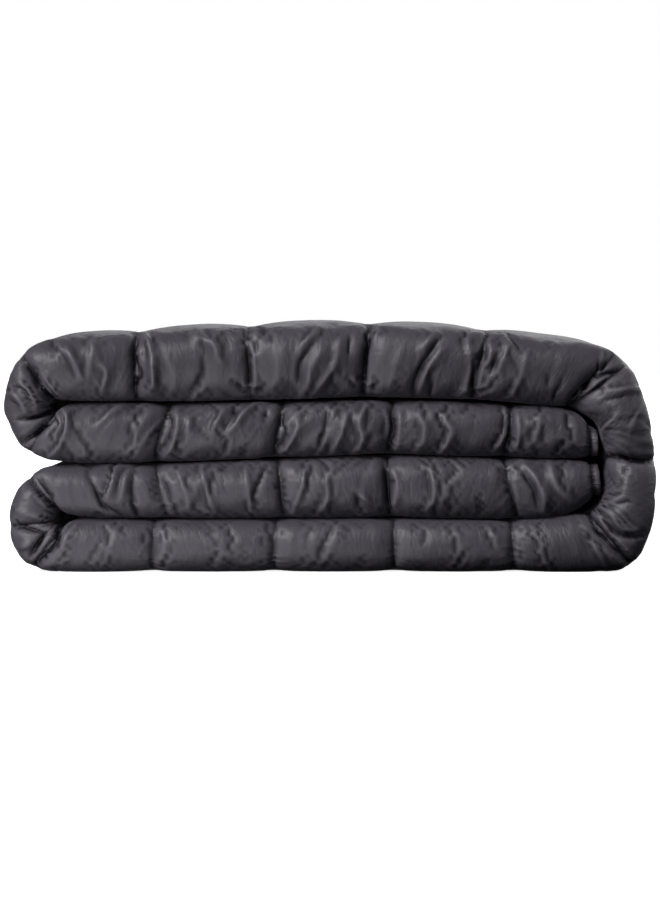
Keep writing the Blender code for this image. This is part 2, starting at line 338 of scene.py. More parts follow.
def layPath():
    # fine samples along the folds; reach is measured along whichever face is longer
    last = len(ribTable) - 1
    samples = {"outer": [], "inner": [], "setback": [], "crown": []}
    ribAt = []
    for i in range(last):
        near = [ribTable[k] for k in (max(i - 1, 0), i, i + 1, min(i + 2, last))]
        span = max(np.linalg.norm(near[2][face] - near[1][face]) for face in ("outer", "inner"))
        steps = math.ceil(span / 0.001)
        ribAt.append(len(samples["outer"]))
        for step in range(steps + (i == last - 1)):
            t = step / steps
            for face in ("outer", "inner"):
                samples[face].append(curvePoint(*(r[face] for r in near), t))
            for value in ("setback", "crown"):
                samples[value].append((near[1][value] * (1 - t) + near[2][value] * t) * mm)
    ribAt.append(len(samples["outer"]) - 1)
    path = {name: np.array(values) for name, values in samples.items()}
    stepLengths = [np.linalg.norm(np.diff(path[face], axis=0), axis=1) for face in ("outer", "inner")]
    path["reach"] = np.concatenate([[0], np.cumsum(np.maximum(*stepLengths))])
    path["ribReach"] = path["reach"][ribAt]
    return path


path = layPath()
pathLength = float(path["reach"][-1])
hemReach = [r for r, rib in zip(path["ribReach"], ribTable) if rib["kind"] == "hem"]
seamReach = np.array([r for r, rib in zip(path["ribReach"], ribTable) if rib["kind"] in ("seam", "hem")])
seamPull = np.array([rib["pull"] for rib in ribTable if rib["kind"] in ("seam", "hem")]) * mm
print("cloth along the folds: %.3f m, seams: %d" % (pathLength, len(seamReach)))


def runShows(s):
    shows = np.zeros(len(s), bool)
    for run in runTable:
        first, last = path["ribReach"][[run["firstRib"], run["lastRib"]]]
        shows |= run["shows"] & (s >= first) & (s <= last)
    return shows


def runWrinkles(s):
    share = np.full(len(s), runTable[0]["wrinkled"])
    for run, after in zip(runTable, runTable[1:]):
        end = path["ribReach"][run["lastRib"]]
        share = share + (after["wrinkled"] - run["wrinkled"]) * np.clip((s - end) / runBlend + 0.5, 0, 1)
    return share


def along(name, s):
    values = path[name]
    s = np.clip(s, 0, pathLength)
    if values.ndim == 1:
        return np.interp(s, path["reach"], values)
    return np.stack([np.interp(s, path["reach"], values[:, k]) for k in range(2)], axis=1)


def zoneShare(rows, name):
    first, count = zoneStart[name]
    return (rows >= first - 1e-6) & (rows <= first + count + 1e-6), np.clip((rows - first) / count, 0, 1)


def noseProfile(t):
    # even steps round a squared ellipse: 1 to -1 across, and 0 to 1 to 0 forwards
    power = 2 / cloth["noseSquareness"]
    angles = np.linspace(0, math.pi, 400)
    across = np.sign(np.cos(angles)) * np.abs(np.cos(angles)) ** power
    forward = np.abs(np.sin(angles)) ** power
    arc = np.concatenate([[0], np.cumsum(np.hypot(np.diff(across), np.diff(forward)))])
    arc /= arc[-1]
    return np.interp(t, arc, across), np.interp(t, arc, forward)


def foldCloth(s, rows):
    # places flat grid coordinates (reach, row) in the folded pack, with pockets not yet swollen
    outer, inner = along("outer", s), along("inner", s)
    centre, across = (outer + inner) / 2, outer - inner
    half = np.linalg.norm(across, axis=1) / 2
    across /= 2 * half[:, None]
    setback = along("setback", s)
    gap, hem, width = cloth["plyGap"], cloth["hemPly"], cloth["hemWidth"]
    fromEnd = np.minimum(s - hemReach[0], hemReach[1] - s)
    filled = np.sqrt(np.clip(1 - (1 - np.clip(fromEnd / cloth["hemRound"], 0, 1)) ** 2, 0, 1))
    ply = (2 * half - 2 * gap) / 3
    thick = hem + (ply - hem) * filled
    face = half - (ply - thick) / 2
    lining, mid = face - thick, thick / 2
    noseEnd = setback + cloth["noseReach"]
    front = setback + (ply - thick) / 2
    insideFront = front + thick
    insideEnd = np.maximum(noseEnd, insideFront + ply / 2)
    backReach = thick / 2 + (ply + gap) / 2
    back = cloth["packDepth"] - ply - gap / 2
    edge = cloth["packDepth"] - setback
    strip, plyCentre = hem / 2, face - thick / 2

    def plyRound(depth):
        nearEdge = np.clip((depth - (edge - width - cloth["hemRound"])) / cloth["hemRound"], 0, 1)
        return strip + (thick / 2 - strip) * np.sqrt(1 - nearEdge**2)

    def halfRound(first, last, base, reach, t):
        turn = math.pi * t
        return (first + last) / 2 - (last - first) / 2 * np.cos(turn), base + reach * np.sin(turn)

    def between(first, last, t):
        return first * (1 - t) + last * t

    offset, depth = np.zeros_like(s), np.zeros_like(s)

    def put(name, make):
        inside, t = zoneShare(rows, name)
        o, d = make(t)
        offset[inside] = np.broadcast_to(o, s.shape)[inside]
        depth[inside] = np.broadcast_to(d, s.shape)[inside]

    def outerFace(t):
        d = between(edge - width, noseEnd, t)
        return plyCentre + plyRound(d), d

    def outerLining(t):
        d = between(insideEnd, edge - width, t)
        return plyCentre - plyRound(d), d

    def nose(t):
        sideways, forward = noseProfile(t)
        return face * sideways, noseEnd - (noseEnd - front) * forward

    def backHem(t):
        steps = (0, 1 / 3, 2 / 3, 1)
        o = plyCentre + strip * np.interp(t, steps, (-1, -1, 1, 1))
        return o, edge - width * np.interp(t, steps, (1, 0, 0, 1))

    put("outerLining", outerLining)
    put("backHem", backHem)
    put("noseInside", lambda t: halfRound(-lining, lining, insideEnd, insideFront - insideEnd, t))
    put("innerLining", lambda t: (-lining, between(back, insideEnd, t)))
    put("foldInside", lambda t: halfRound(-mid, -lining, back, backReach - thick, t))
    put("tuckedUnder", lambda t: (-mid, between(insideEnd + ply / 2, back, t)))
    put("tuckedEdge", lambda t: halfRound(mid, -mid, insideEnd + ply / 2, -thick / 2, t))
    put("tuckedTop", lambda t: (mid, between(back, insideEnd + ply / 2, t)))
    put("backFold", lambda t: halfRound(-face, mid, back, backReach, t))
    put("innerFace", lambda t: (-face, between(noseEnd, back, t ** cloth["innerSpacing"])))
    put("nose", nose)
    put("outerFace", outerFace)

    place = centre + across * offset[:, None]
    return np.stack([place[:, 0], depth - cloth["packDepth"] / 2, np.maximum(place[:, 1], 0)], axis=1), depth


def pocketShares(s, rows, depth):
    # shares across the pocket along and across the folds, and how much each place may swell
    index = np.clip(np.searchsorted(seamReach, s, side="right") - 1, 0, len(seamReach) - 2)
    alongShare = (s - seamReach[index]) / (seamReach[index + 1] - seamReach[index])
    pocket, reach, seamAtNose = cloth["pocket"], cloth["noseReach"], cloth["seamAtNose"]
    acrossShare = np.mod((depth - pocket / 2) / pocket, 1)
    isNose, noseT = zoneShare(rows, "nose")
    nearFront = np.clip((pocket / 2 - depth) / (pocket / 2 - reach), 0, 1) * seamAtNose
    isOuter, _ = zoneShare(rows, "outerFace")
    isInner, _ = zoneShare(rows, "innerFace")
    acrossShare = np.where(depth < pocket / 2, nearFront, acrossShare)
    acrossShare = np.where(isNose, seamAtNose + (1 - 2 * seamAtNose) * noseT, acrossShare)
    first, last = path["ribReach"][[cloth["puffedFrom"], cloth["puffedTo"]]]
    free = np.clip(np.minimum(s - first, last - s) / cloth["puffAlong"], 0, 1)
    toBack = cloth["packDepth"] - cloth["puffFromBack"] - depth
    farIn = np.clip(np.minimum(depth - reach, toBack) / cloth["puffAcross"], 0, 1)
    outerCrown = along("crown", s) + cloth["puff"] * free * farIn
    crown = np.where(isOuter, outerCrown, 0) + np.where(isInner, cloth["pressedCrown"], 0)
    bulge = np.sin(math.pi * noseT) ** cloth["frontBulge"]
    sides = along("crown", s) * (1 - noseT) + cloth["pressedCrown"] * noseT
    crown = np.where(isNose, sides * (1 - bulge) + cloth["frontCrown"] * bulge, crown)
    return alongShare, acrossShare, crown


def normalsAt(s, rows):
    # across and along the surface by small steps, turned so that they point out of the cloth
    stepS, stepRow = 0.0005, 0.03
    alongStep = foldCloth(s + stepS, rows)[0] - foldCloth(s - stepS, rows)[0]
    up, down = np.minimum(rows + stepRow, rowCount), np.maximum(rows - stepRow, 0)
    acrossStep = foldCloth(s, up)[0] - foldCloth(s, down)[0]
    normals = np.cross(acrossStep, alongStep)
    return normals / np.maximum(np.linalg.norm(normals, axis=1), 1e-12)[:, None]


creaseForm = {
    "easySide": 1.3,         # half width on each side, against the table
    "steepSide": 0.75,
    "falloff": 1.5,
    "counts": 3.2,           # half widths from a crease that are worked out
    "uneven": 0.5,
    "unevenScale": 60,
    "unevenStart": (14.6, 6.2, 11.4),
    "endStart": 0.12,        # it fades at its ends
    "endPower": 0.8,
}


def creaseLift(places, s, frontness):
    lift = np.zeros(len(s))
    uneven = np.ones(len(s))
    isFront = frontness > 0.05
    near = np.flatnonzero(isFront)
    scale, start = creaseForm["unevenScale"], Vector(creaseForm["unevenStart"])
    random = [noise.noise(Vector(p) * scale + start) for p in places[near]]
    uneven[near] += creaseForm["uneven"] * np.array(random)
    for crease in creaseTable:
        first, last = path["ribReach"][list(crease["ends"])]
        points = np.array(crease["points"], float).reshape(-1, 2) * mm
        width, height = crease["width"] * mm, crease["height"] * mm
        spread = creaseForm["counts"] * width
        inBox = isFront & (s > first) & (s < last)
        for side, value in enumerate((places[:, 0], places[:, 2])):
            inBox &= (value > points[:, side].min() - spread) & (value < points[:, side].max() + spread)
        found = np.flatnonzero(inBox)
        if len(found) == 0:
            continue
        spots = places[found][:, [0, 2]]
        last = len(points) - 1
        line = [points[0]]
        for i in range(last):
            before, after = points[max(i - 1, 0)], points[min(i + 2, last)]
            line += [curvePoint(before, points[i], points[i + 1], after, t) for t in (0.25, 0.5, 0.75, 1)]
        line = np.array(line)
        nearest = np.full(len(found), 1.0)
        side, share = np.zeros(len(found)), np.zeros(len(found))
        for i in range(len(line) - 1):
            step = line[i + 1] - line[i]
            away = spots - line[i]
            t = np.clip(away @ step / (step @ step), 0, 1)
            gap = away - t[:, None] * step
            distance = np.linalg.norm(gap, axis=1)
            closer = distance < nearest
            nearest = np.where(closer, distance, nearest)
            side = np.where(closer, np.sign(step[0] * away[:, 1] - step[1] * away[:, 0]), side)
            share = np.where(closer, (i + t) / (len(line) - 1), share)
        # one side of a fold is steeper, and it fades at its ends
        reach = width * np.where(side > 0, creaseForm["easySide"], creaseForm["steepSide"])
        endStart = creaseForm["endStart"]
        fade = np.sin(math.pi * (endStart + (1 - 2 * endStart) * share)) ** creaseForm["endPower"]
        lift[found] += height * np.exp(-(nearest / reach) ** creaseForm["falloff"]) * fade
    return cloth["creaseDepth"] * lift * uneven * frontness * runWrinkles(s)


smallFold = {
    "height": 0.0009,
    "width": 0.010,          # along the folds
    "length": 0.034,         # across them
    "slant": 0.4,
    "sway": 0.022,
    "atSeam": 1.5,           # how much stronger within seamReach of a seam
    "seamReach": 0.018,
    "onFace": 0.25,          # share left on the broad faces
    "spread": 1.8,           # more carries them further round the front fold
    "swayScale": 16,
    "sharp": 0.6,            # of the ridges, against the soft waves
    "ridgeDrop": 2.2,
    "softScale": 0.45,
    "patchScale": (28, 22),  # some patches have stronger folds than others
    "patchMiddle": 0.5,
    "patchSpread": 1.2,
    "patchLeast": 0.05,
}


def smallFolds(s, rows, fromSeam, frontness):
    isOuter, _ = zoneShare(rows, "outerFace")
    isInner, _ = zoneShare(rows, "innerFace")
    share = np.where(isOuter | isInner, smallFold["onFace"], np.clip(frontness * smallFold["spread"], 0, 1))
    found = np.flatnonzero((share > 0) & (rows <= sum(zoneStart["innerFace"])))
    flat = np.stack([s[found], flatAcross(rows[found])], axis=1)
    height = np.zeros(len(found))
    for i, (x, y) in enumerate(flat):
        spot = Vector((x, y, 0)) * smallFold["swayScale"] + Vector((0, 0, 4))
        slanted = x + smallFold["slant"] * y + smallFold["sway"] * noise.noise(spot)
        spot = Vector((slanted / smallFold["width"], y / smallFold["length"], 1.5))
        ridge = 1 - smallFold["ridgeDrop"] * abs(noise.noise(spot))
        soft = noise.noise(spot * smallFold["softScale"])
        patch = Vector((x * smallFold["patchScale"][0], y * smallFold["patchScale"][1], 8.0))
        strong = smallFold["patchMiddle"] + noise.noise(patch) * smallFold["patchSpread"]
        height[i] = (smallFold["sharp"] * ridge + soft) * max(strong, smallFold["patchLeast"])
    near = 1 + smallFold["atSeam"] * np.exp(-(fromSeam[found] / smallFold["seamReach"]) ** 2)
    lift = np.zeros(len(s))
    lift[found] = smallFold["height"] * height * near * share[found] * runWrinkles(s[found])
    return lift


seamForm = {
    "spread": 0.6,           # less carries the pull further round the front fold
    "stitch": 0.75,          # share of the pull at the stitches
    "stitchReach": 0.0028,
    "dip": 0.36,             # share of it beside them
    "dipReach": 0.010,
    "closing": 0.7,          # share of the stitched part that gets painted shade, as if it closed on itself
}


def shapeCloth(s, rows, small=False):
    # the cloth in its place, with its pockets, its seams and its main creases
    placed, depth = foldCloth(s, rows)
    normals = normalsAt(s, rows)
    alongShare, acrossShare, crown = pocketShares(s, rows, depth)
    domes = [np.clip(np.sin(math.pi * share), 0, 1) for share in (alongShare, acrossShare)]
    swell = np.sqrt(domes[0] * domes[1])
    seamIndex = np.argmin(np.abs(s[:, None] - seamReach[None, :]), axis=1)
    fromSeam = np.abs(s - seamReach[seamIndex])
    isNose, noseT = zoneShare(rows, "nose")
    frontness = np.where(isNose, np.sin(math.pi * noseT), 0)
    drawnIn = seamPull[seamIndex] * frontness ** seamForm["spread"]
    sewn = drawnIn * seamForm["stitch"] * np.exp(-fromSeam / seamForm["stitchReach"])
    groove = drawnIn * seamForm["dip"] * np.exp(-(fromSeam / seamForm["dipReach"]) ** 2) + sewn
    creased = np.clip(frontness * cloth["creaseShare"] - cloth["creaseStart"], 0, 1)
    lift = creaseLift(placed, s, creased)
    # the mask of painted shade in deep creases and along the stitches
    tucked = np.clip((seamForm["closing"] * sewn - lift - cloth["tuckFrom"]) / cloth["tuckDepth"], 0, 1)
    if small:
        lift = lift + smallFolds(s, rows, fromSeam, frontness)
    places = placed + normals * (crown * swell - groove + lift)[:, None]
    places[:, 2] = np.maximum(places[:, 2], 0)
    # the first seam across lies half a pocket from the front fold
    isOuter, _ = zoneShare(rows, "outerFace")
    pastFirstHalf = isOuter & (depth > cloth["pocket"] * 0.75)
    fromCrossSeam = np.where(pastFirstHalf, np.minimum(acrossShare, 1 - acrossShare), 1) * cloth["pocket"]
    return {"places": places, "normals": normals, "fromSeam": fromSeam, "fromCrossSeam": fromCrossSeam,
            "isNose": isNose, "noseT": noseT, "tucked": tucked}


# the filled cloth settles: the outside is a little longer than its place, and the filling pushes it out
settling = {
    "alongStep": 0.0036,     # grid of the sheets
    "noseStep": 0.0034,
    "faceStep": 0.0060,
    "noseLength": 0.090,     # round the front fold
    "hiddenTicks": 4,        # steps on a face that is hidden
    "innerTicks": (0.15, 0.4, 0.8),
    "frames": 14,
    "quality": 5,
    "mass": 0.1,
    "pressure": 45.0,
    "stiffness": {"tension": 15.0, "compression": 15.0, "shear": 4.5, "bending": 0.5},
    "damping": {"tension": 2.0, "compression": 2.0, "shear": 2.0, "bending": 0.01},
    "excess": 0.038,         # how much longer the cloth is than its place
    "cap": 0.0035,           # nothing moves further than this
    "seamHold": 0.0045,      # held this near a seam
    "seamGrip": 1.3,
    "endHold": 0.006,        # and this near the ends of its run
    "endGrip": 1.5,
    "edgeHold": 0.30,        # share of the front fold, where it meets another layer
    "edgeFade": 0.20,
    "faceTight": 0.8,        # a face is tighter and less pushed than the front fold
    "faceCalm": 0.94,
    "faceFade": 0.35,        # share of the front fold over which that changes
    "pressedShare": 0.1,     # of the front fold, tight against the next layer
    "pressedFade": 0.25,
}


def settleSheet(run):
    first, last = path["ribReach"][[run["firstRib"], run["lastRib"]]]
    noseFirst, noseRows = zoneStart["nose"]
    noseSteps = round(settling["noseLength"] / settling["noseStep"])
    faceStart, faceSteps = noseFirst - 1, settling["hiddenTicks"]
    if run["shows"]:
        faceStart = 0
        faceSteps = round((cloth["packDepth"] - cloth["noseReach"]) / settling["faceStep"])
    rowTicks = np.concatenate([
        np.linspace(faceStart, noseFirst, faceSteps)[:-1],
        np.linspace(noseFirst, noseFirst + noseRows, noseSteps),
        noseFirst + noseRows + np.array(settling["innerTicks"]),
    ])
    columns = round((last - first) / settling["alongStep"])
    bm = bmesh.new()
    bmesh.ops.create_grid(bm, x_segments=columns, y_segments=len(rowTicks) - 1, size=0.5)
    bmesh.ops.translate(bm, vec=(0.5, 0.5, 0), verts=bm.verts)
    bmesh.ops.scale(bm, vec=(columns, len(rowTicks) - 1, 1), verts=bm.verts)
    mesh = bpy.data.meshes.new("settling")
    bm.to_mesh(mesh)
    bm.free()
    grid = np.rint(flatCoords(mesh)[:, :2]).astype(int)
    sTicks = np.linspace(first, last, columns + 1)
    s, rows = sTicks[grid[:, 0]], rowTicks[grid[:, 1]]
    shape = shapeCloth(s, rows)
    places, normals, noseT = shape["places"], shape["normals"], shape["noseT"]
    mesh.vertices.foreach_set("co", places.ravel())
    mesh.update()
    if (normalsOf(mesh) * normals).sum() < 0:
        mesh.flip_normals()
    isNose = shape["isNose"]
    hold, fade = settling["edgeHold"], settling["edgeFade"]
    toSeam = np.minimum(shape["fromSeam"], shape["fromCrossSeam"]) / settling["seamHold"]
    toEnd = np.minimum(s - first, last - s) / settling["endHold"]
    innerEdge = np.clip((noseT - (1 - hold)) / fade, 0, 1) ** 2 * isNose + (rows > noseFirst + noseRows)
    if run["shows"]:
        outerEdge = np.clip(1 - rows, 0, 1)
        onFace = np.where(isNose, np.clip(1 - noseT / settling["faceFade"], 0, 1), 1.0)
        fromEdge = 1 - noseT
    else:
        outerEdge = np.clip((hold - noseT) / fade, 0, 1) ** 2 * isNose + (rows < noseFirst)
        onFace = np.where(isNose, 0, 1.0)
        fromEdge = np.minimum(1 - noseT, noseT)
    atSeam = np.clip(settling["seamGrip"] - toSeam, 0, 1)
    ends = np.clip(settling["endGrip"] - toEnd, 0, 1)
    held = np.clip(np.maximum.reduce([atSeam, innerEdge, outerEdge, ends]), 0, 1)
    fromPressed = (fromEdge - settling["pressedShare"]) / settling["pressedFade"]
    pressed = np.where(isNose, np.clip(1 - fromPressed, 0, 1), 0)
    tight = np.maximum(onFace * settling["faceTight"], pressed)
    push = 1 - onFace * settling["faceCalm"]
    sheet = bpy.data.objects.new("settling", mesh)
    bpy.context.scene.collection.objects.link(sheet)
    for name, weights in (("pins", held), ("tight", tight), ("push", push)):
        group = sheet.vertex_groups.new(name=name)
        for i, weight in enumerate(weights):
            group.add([i], float(weight), "REPLACE")
    modifier = sheet.modifiers.new("cloth", "CLOTH")
    settings = modifier.settings
    settings.quality = settling["quality"]
    settings.mass = settling["mass"]
    for kind in ("stiffness", "damping"):
        for direction, value in settling[kind].items():
            setattr(settings, direction + "_" + kind, value)
    settings.air_damping = 1
    settings.use_pressure = True
    settings.uniform_pressure_force = settling["pressure"]
    settings.vertex_group_mass = "pins"
    settings.vertex_group_pressure = "push"
    settings.vertex_group_shrink = "tight"
    settings.shrink_min = -settling["excess"] * run["wrinkled"]
    settings.effector_weights.gravity = 0
    modifier.collision_settings.use_collision = False
    for frameNumber in range(1, settling["frames"] + 1):
        bpy.context.scene.frame_set(frameNumber)
    bpy.context.view_layer.objects.active = sheet
    bpy.ops.object.modifier_apply(modifier=modifier.name)
    moved = flatCoords(mesh) - places
    length = np.linalg.norm(moved, axis=1)
    cap = settling["cap"]
    moved *= (cap * np.tanh(length / cap) / np.maximum(length, 1e-9))[:, None]
    print("settled %s: %d points, %.1f mm on average, %.1f mm at most"
          % (run["run"], len(s), length.mean() / mm, length.max() / mm))
    bpy.context.scene.frame_set(1)
    bpy.data.objects.remove(sheet)
    values = np.zeros((columns + 1, len(rowTicks), 3))
    values[grid[:, 0], grid[:, 1]] = moved
    return sTicks, rowTicks, values


def sampleSheet(sheet, s, rows):
    # cubic between the points of the sheet, and nothing outside it
    sTicks, rowTicks, values = sheet
    inside = (s >= sTicks[0]) & (s <= sTicks[-1]) & (rows >= rowTicks[0]) & (rows <= rowTicks[-1])
    result = np.zeros((len(s), 3))
    if not inside.any():
        return result

    def cubic(ticks, wanted):
        at = np.interp(wanted, ticks, np.arange(len(ticks)))
        base = np.minimum(np.floor(at).astype(int), len(ticks) - 2)
        t = at - base
        weights = (-0.5 * t**3 + t**2 - 0.5 * t, 1.5 * t**3 - 2.5 * t**2 + 1,
                   -1.5 * t**3 + 2 * t**2 + 0.5 * t, 0.5 * t**3 - 0.5 * t**2)
        return [(np.clip(base + k - 1, 0, len(ticks) - 1), w) for k, w in enumerate(weights)]

    total = 0
    for i, wi in cubic(sTicks, s[inside]):
        for j, wj in cubic(rowTicks, rows[inside]):
            total = total + values[i, j] * (wi * wj)[:, None]
    result[inside] = total
    return result


def refine(bm, wanted):
    faces = [f for f in bm.faces if wanted(f.calc_center_median())]
    edges = list({e for f in faces for e in f.edges})
    bmesh.ops.subdivide_edges(bm, edges=edges, cuts=1, use_grid_fill=True)


def cutCloth():
    # a flat grid: x is the reach along the folds, y the row round the section
    columns = round(pathLength / cloth["coarse"])
    bm = bmesh.new()
    bmesh.ops.create_grid(bm, x_segments=columns, y_segments=rowCount, size=0.5)
    bmesh.ops.scale(bm, vec=(pathLength, rowCount, 1), verts=bm.verts)
    bmesh.ops.translate(bm, vec=(pathLength / 2, rowCount / 2, 0), verts=bm.verts)
    noseFirst, noseRows = zoneStart["nose"]
    noseLast, inset = noseFirst + noseRows, cloth["finestInset"]
    backFold, afterFold, backHem = (zoneStart[name][0] for name in ("backFold", "tuckedTop", "backHem"))

    def shows(x):
        return bool(runShows(np.array([x]))[0])

    def isOutside(c):
        isNear = shows(c.x) or c.y > noseFirst - cloth["fineHidden"]
        isFront = isNear and c.y < noseLast + cloth["fineInside"]
        return isFront or backFold <= c.y < afterFold or c.y > backHem

    refine(bm, isOutside)
    refine(bm, lambda c: (cloth["fineFaceRow"] if shows(c.x) else noseFirst - 1) < c.y < noseLast + 1)
    refine(bm, lambda c: noseFirst + inset < c.y < noseLast - inset)
    print("flat cloth: %d faces" % len(bm.faces))
    return bm


def flatCoords(mesh):
    flat = np.zeros(len(mesh.vertices) * 3)
    mesh.vertices.foreach_get("co", flat)
    return flat.reshape(-1, 3)


def normalsOf(mesh):
    normals = np.zeros(len(mesh.vertices) * 3)
    mesh.vertex_normals.foreach_get("vector", normals)
    return normals.reshape(-1, 3)


def keepApart(places, s, rows):
    # nothing passes its rib line by more than there is room for
    outer, inner = along("outer", s), along("inner", s)
    centre, across = (outer + inner) / 2, outer - inner
    half = np.linalg.norm(across, axis=1) / 2
    across /= 2 * half[:, None]
    offset = ((places[:, [0, 2]] - centre) * across).sum(axis=1)
    room = np.where(runShows(s), cloth["freeRoom"], cloth["pressedRoom"])
    room = np.where(offset > 0, room, cloth["pressedRoom"])
    past = np.maximum(np.abs(offset) - half, 0)
    kept = np.sign(offset) * (np.minimum(np.abs(offset), half) + room * np.tanh(past / room))
    isShell = rows <= sum(zoneStart["innerFace"])
    shift = np.where(isShell, kept - offset, 0)[:, None] * across
    result = places.copy()
    result[:, 0] += shift[:, 0]
    result[:, 2] = np.maximum(result[:, 2] + shift[:, 1], 0)
    return result


def closeHem(places, s, rows):
    # the first and last rows are one line of the cloth, at its hem
    firstRow, lastRow = np.flatnonzero(rows < 1e-6), np.flatnonzero(rows > rowCount - 1e-6)
    firstRow = firstRow[np.argsort(s[firstRow])]
    for axis in range(3):
        places[lastRow, axis] = np.interp(s[lastRow], s[firstRow], places[firstRow, axis])


def addValues(mesh, name, values):
    mesh.attributes.new(name, "FLOAT", "POINT").data.foreach_set("value", values)


bm = cutCloth()
quilt = bpy.data.meshes.new("quiltedCloth")
bm.to_mesh(quilt)
bm.free()
flat = flatCoords(quilt)
s, rows = flat[:, 0].copy(), flat[:, 1].copy()
shape = shapeCloth(s, rows, small=True)
places = shape["places"]
for run in runTable:
    places = places + sampleSheet(settleSheet(run), s, rows)
places = keepApart(places, s, rows)
closeHem(places, s, rows)
quilt.vertices.foreach_set("co", places.ravel())
quilt.update()

flatMap = quilt.uv_layers.new(name="flatCloth")
corner = np.zeros(len(quilt.loops), int)
quilt.loops.foreach_get("vertex_index", corner)
flatPlace = np.stack([s, flatAcross(rows)], axis=1)
flatMap.data.foreach_set("uv", flatPlace[corner].ravel())

addValues(quilt, "fromSeam", np.minimum(shape["fromSeam"], cloth["seamFar"]))
# mask of the painted shade in deep creases and along the stitches
addValues(quilt, "tucked", shape["tucked"])

bedspread = bpy.data.objects.new("quiltedBedspread", quilt)
bpy.context.scene.collection.objects.link(bedspread)
bm = bmesh.new()
bm.from_mesh(quilt)
border = [v for v, r in zip(bm.verts, rows) if r < 1e-6 or r > rowCount - 1e-6]
bmesh.ops.remove_doubles(bm, verts=border, dist=0.00002)
bmesh.ops.holes_fill(bm, edges=[e for e in bm.edges if e.is_boundary], sides=0)
bmesh.ops.recalc_face_normals(bm, faces=bm.faces)
print("open edges:", sum(e.is_boundary for e in bm.edges), "faces:", len(bm.faces),
      "triangles:", sum(len(f.verts) - 2 for f in bm.faces))
bm.to_mesh(quilt)
bm.free()
quilt.shade_smooth()


def hollowness(mesh):
    # 1 in a narrow trough, -1 on a sharp ridge: how far the neighbours stand above each point
    ends = np.zeros(len(mesh.edges) * 2, int)
    mesh.edges.foreach_get("vertices", ends)
    ends = np.concatenate([ends.reshape(-1, 2), ends.reshape(-1, 2)[:, ::-1]])
    places, normals = flatCoords(mesh), normalsOf(mesh)
    step = places[ends[:, 1]] - places[ends[:, 0]]
    rise = (step * normals[ends[:, 0]]).sum(axis=1) / np.maximum((step**2).sum(axis=1), 1e-9)
    count = np.bincount(ends[:, 0])
    bend = np.bincount(ends[:, 0], rise) / count
    near = bend
    for _ in range(3):
        near = (near + np.bincount(ends[:, 0], near[ends[:, 1]]) / count) / 2
    return np.tanh((0.5 * bend + near) * cloth["hollowReach"])


# troughs get painted shade and sharp ridges a painted highlight from this
addValues(quilt, "hollow", hollowness(quilt))


class Wire:
    # an output socket that does sums: each one adds its Math node
    def __init__(self, finish, socket):
        self.finish, self.socket = finish, socket

    def sum(self, operation, first, second):
        return self.finish.node("ShaderNodeMath", {"operation": operation}, {0: first, 1: second})

    def other(self, name):
        # another output of the same node
        return Wire(self.finish, self.socket.node.outputs[name])

    def __add__(self, other):
        return self.sum("ADD", self, other)

    def __radd__(self, other):
        return self.sum("ADD", other, self)

    def __sub__(self, other):
        return self.sum("SUBTRACT", self, other)

    def __rsub__(self, other):
        return self.sum("SUBTRACT", other, self)

    def __mul__(self, other):
        return self.sum("MULTIPLY", self, other)

    def __rmul__(self, other):
        return self.sum("MULTIPLY", other, self)

    def __rpow__(self, other):
        return self.sum("POWER", other, self)


class Finish:
    # the nodes of a material or of the sky, and the one way they are made
    def __init__(self, owner):
        owner.use_nodes = True
        self.tree = owner.node_tree

    def node(self, kind, settings=None, sockets=None, output=0):
        made = self.tree.nodes.new(kind)
        for name, value in (settings or {}).items():
            setattr(made, name, value)
        for name, value in (sockets or {}).items():
            self.join(made.inputs[name], value)
        return Wire(self, made.outputs[output])

    def join(self, socket, value):
        if isinstance(value, Wire):
            self.tree.links.new(value.socket, socket)
        else:
            socket.default_value = value

    def set(self, name, value, node="Principled BSDF"):
        self.join(self.tree.nodes[node].inputs[name], value)


# charcoal satin: colours are linear, sizes in metres
satinLook = {
    "deep": (0.036, 0.033, 0.042, 1),
    "light": (0.054, 0.050, 0.062, 1),
    "toneScale": 22,         # patches of the two
    # painted shade: the colour that troughs, deep creases and stitches are darkened towards
    "shadow": (0.006, 0.005, 0.008, 1),
    # painted highlight: the colour that sharp ridges are lightened towards
    "ridge": (0.120, 0.114, 0.132, 1),
    "hollowShade": 1.5,      # painted shade: how dark the troughs are painted
    # painted shade in the deep creases and along the stitches
    "tuckShade": 0.8,
    # painted highlight: how light the sharp ridges are painted
    "ridgeLight": 0.65,
    "roughness": 0.49,
    "roughnessSpread": 0.12,
    "specular": 0.36,
    "sheen": 0.15,
    "sheenRoughness": 0.4,
    "sheenTint": (0.75, 0.72, 0.82, 1),
    "drift": (0.05, 0.05, 0),  # the crumple wanders
    "driftScale": 9,
    "crumple": 0.0016,       # height of the small soft folds
    "crumpleScale": 38,
    "crumpleTurn": (0, 0, 0.35),
    "crumpleStretch": (1.5, 0.75, 1),
    "fineCrumple": 0.0005,
    "fineScale": 130,
    "gather": 0.0015,        # height of the fine gathers beside a seam
    "gatherReach": 0.012,
    "gatherTurn": (0, 0, -0.3),
    "gatherStretch": (42, 150, 1),
    "weaveThread": 0.0006,   # from one thread to the next
    "weave": 0.000012,
}


